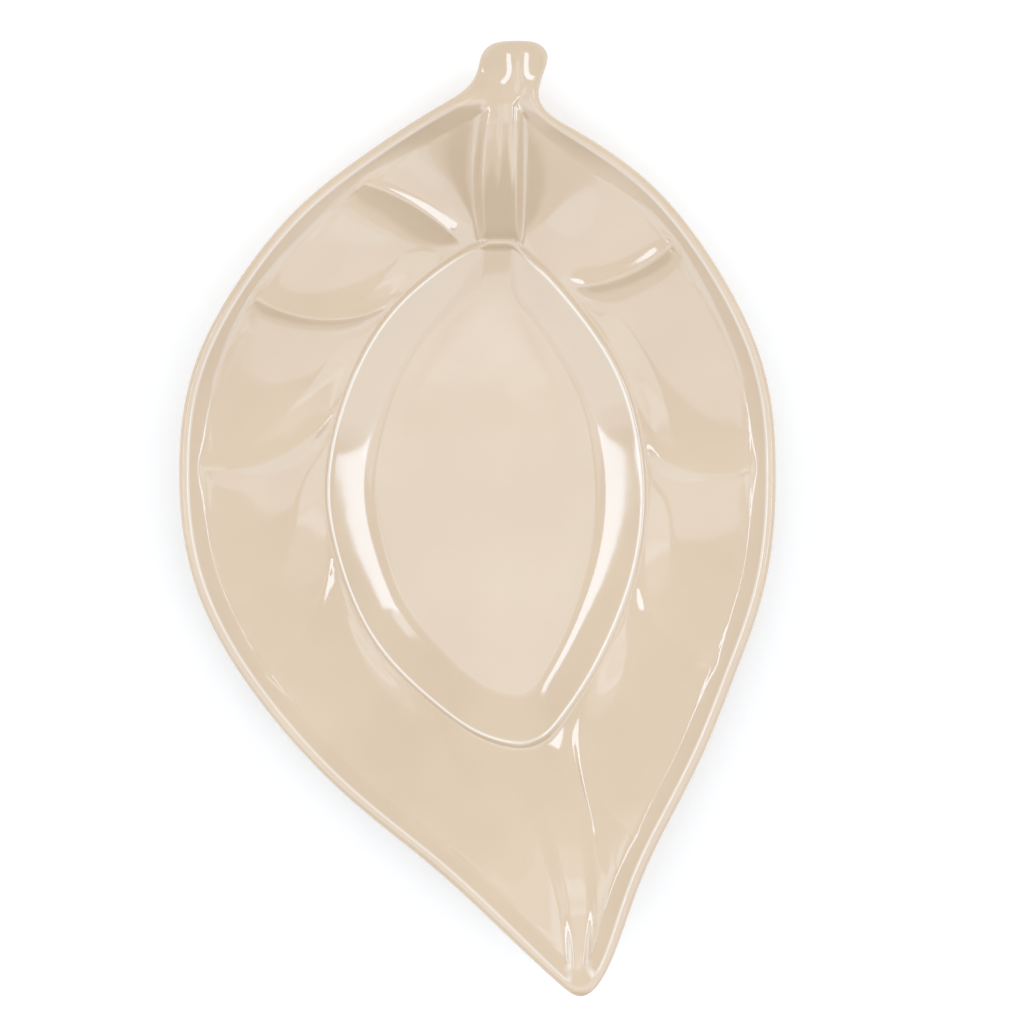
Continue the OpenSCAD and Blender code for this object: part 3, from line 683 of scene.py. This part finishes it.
def clayMaterial(name, look):
    material, tree = newMaterial(name)
    place = addNode(tree, "ShaderNodeTexCoord").outputs["Object"]
    grog = mottling(tree, place, look, "grog")
    tint = tintBetween(tree, grog, look["grogEnds"], (look["grog"], look["buff"]))
    grain = mottling(tree, place, look, "grain")
    bump = addNode(tree, "ShaderNodeBump", {"Height": grain, "Strength": 1.0, "Distance": look["grainDepth"] * mm})
    clay = addNode(tree, "ShaderNodeBsdfPrincipled", {
        "Base Color": tint, "Roughness": look["roughness"], "Normal": bump.outputs["Normal"]})
    addNode(tree, "ShaderNodeOutputMaterial", {"Surface": clay.outputs["BSDF"]})
    return material


beigeGlaze = glazeMaterial("beige_stoneware_glaze", glazeLook)
bareClay = clayMaterial("bare_stoneware_clay", clayLook)
for piece, material in ((glazedLeaf, beigeGlaze), (basePanel, beigeGlaze), (footRing, bareClay)):
    piece.data.materials.clear()
    piece.data.materials.append(material)
print("materials made")


# White table, in metres: it takes the dish's soft shadow, and its glow makes it read as plain white to the camera
# and in the glaze
tabletop = {"size": 6, "paint": "#F4F4F3", "glow": 0.2}

bpy.ops.mesh.primitive_plane_add(size=tabletop["size"], location=(0, 0, 0))
table = bpy.context.object
table.name = "table"
tableWhite, tree = newMaterial("white_table")
path = addNode(tree, "ShaderNodeLightPath")
seen = addNode(tree, "ShaderNodeMath", {0: path.outputs["Is Camera Ray"], 1: path.outputs["Is Glossy Ray"]},
               operation="MAXIMUM")
seen = addNode(tree, "ShaderNodeMath", {0: seen.outputs[0], 1: path.outputs["Is Transmission Ray"]},
               operation="MAXIMUM")
glow = addNode(tree, "ShaderNodeMath", {0: seen.outputs[0], 1: tabletop["glow"]}, operation="MULTIPLY")
matt = addNode(tree, "ShaderNodeBsdfDiffuse", {"Color": toLinear(tabletop["paint"])})
shine = addNode(tree, "ShaderNodeEmission", {"Color": (1, 1, 1, 1), "Strength": glow.outputs[0]})
both = addNode(tree, "ShaderNodeAddShader", {0: matt.outputs[0], 1: shine.outputs[0]})
addNode(tree, "ShaderNodeOutputMaterial", {"Surface": both.outputs[0]})
table.data.materials.append(tableWhite)

# A white room behind the table, darker towards the front, and plain white to the camera: brightness next to white,
# how steeply the dark front's edge falls back sideways and upwards, and how soft it is
room = {"front": 0.2, "walls": 0.9, "sideFall": 1.28, "topFall": 0.445, "softness": 0.16}

world = bpy.data.worlds.new("studio")
world.use_nodes = True
tree = world.node_tree
tree.nodes.clear()
sky = addNode(tree, "ShaderNodeSeparateXYZ", {0: addNode(tree, "ShaderNodeTexCoord").outputs["Generated"]})
across = addNode(tree, "ShaderNodeMath", {0: sky.outputs["X"]}, operation="ABSOLUTE")
front = addNode(tree, "ShaderNodeMath", {
    0: across.outputs[0], 1: room["sideFall"], 2: sky.outputs["Y"]}, operation="MULTIPLY_ADD")
front = addNode(tree, "ShaderNodeMath", {
    0: sky.outputs["Z"], 1: room["topFall"], 2: front.outputs[0]}, operation="MULTIPLY_ADD")
light = addNode(tree, "ShaderNodeMapRange", {
    "Value": front.outputs[0], "From Min": -room["softness"], "From Max": room["softness"] / 2,
    "To Min": room["front"], "To Max": room["walls"]}, interpolation_type="SMOOTHSTEP")
path = addNode(tree, "ShaderNodeLightPath")
level = addNode(tree, "ShaderNodeMix", {
    "Factor": path.outputs["Is Camera Ray"], "A": light.outputs["Result"], "B": 1.0}, data_type="FLOAT")
backdrop = addNode(tree, "ShaderNodeBackground", {"Color": (1, 1, 1, 1), "Strength": level.outputs["Result"]})
addNode(tree, "ShaderNodeOutputWorld", {"Surface": backdrop.outputs[0]})
scene.world = world
print("table and room made")

daylight = "#D0E7FF"


def addLight(name, place, outwards, size, brightness):
    # an area light at a place in metres, with its back to the direction outwards
    turn = Vector(outwards).to_track_quat("Z", "Y").to_euler()
    bpy.ops.object.light_add(type="AREA", location=place, rotation=turn)
    lamp = bpy.context.object
    lamp.name = name
    lamp.visible_camera = False
    lamp.data.color = toLinear(daylight)[:3]
    lamp.data.shape = "RECTANGLE"
    lamp.data.size, lamp.data.size_y = size
    lamp.data.energy = brightness * math.pi * size[0] * size[1]  # brightness is next to white


# Ceiling panels, in metres: where each starts and ends along Y, and its brightness. The narrow gap between back and
# front is reflected across the floor of the well.
ceiling = {"height": 2.4, "width": 1.44}
panels = {"far": (0.25, 0.6, 0.3), "back": (0.094, 0.25, 1.1), "front": (-0.8, 0.07, 0.8)}

for side, (low, high, brightness) in panels.items():
    place = (0, (low + high) / 2, ceiling["height"])
    addLight("ceiling_" + side, place, (0, 0, 1), (ceiling["width"], high - low), brightness)

# Softboxes. Each spans a stretch of compass directions, from +X towards +Y, and of heights above the table, both in
# degrees, and adds its brightness to the room's. The windows are the two bright strips on the well's wall.
softboxes = {
    "right_window": ((-10, 28), (43, 52.5), 3.8),
    "left_window": ((152, 189), (43, 52.5), 3.8),
    "right_curtain": ((28, 38), (44, 53), 1.6),
    "right_card": ((-52, -14), (26, 56), 0.4),
    "left_card": ((195, 228), (26, 56), 0.4),
    "right_sheet": ((-58, -10), (26, 68), 0.6),
    "left_sheet": ((189, 228), (26, 68), 0.6),
}
lightDistance = 1.5  # metres

for name, (compass, elevation, brightness) in softboxes.items():
    a, e = (math.radians(sum(ends) / 2) for ends in (compass, elevation))
    outwards = Vector((math.cos(e) * math.cos(a), math.cos(e) * math.sin(a), math.sin(e)))
    width = 2 * lightDistance * math.tan(math.radians(compass[1] - compass[0]) / 2) * math.cos(e)
    height = 2 * lightDistance * math.tan(math.radians(elevation[1] - elevation[0]) / 2)
    addLight(name, outwards * lightDistance, outwards, (width, height), brightness)

# The camera looks straight down. A pixel of the picture is so many millimetres at the height of the rim, and the
# picture's middle lies so many pixels right of and behind the dish's.
view = {"lens": 180, "sensor": 36, "pixels": 1024, "pixel": 0.3151, "middle": (34.5, 6), "reach": 20}

aboveRim = view["pixels"] * view["pixel"] * view["lens"] / view["sensor"]
right, back = (pixels * view["pixel"] for pixels in view["middle"])
bpy.ops.object.camera_add(location=(right * mm, back * mm, (leaf["rimHeight"] + aboveRim) * mm), rotation=(0, 0, 0))
camera = bpy.context.object
camera.data.lens = view["lens"]
camera.data.sensor_width = view["sensor"]
camera.data.clip_end = view["reach"]  # metres
scene.camera = camera
scene.view_settings.view_transform = "Standard"
print("lights and camera set up")

bpy.context.view_layer.update()
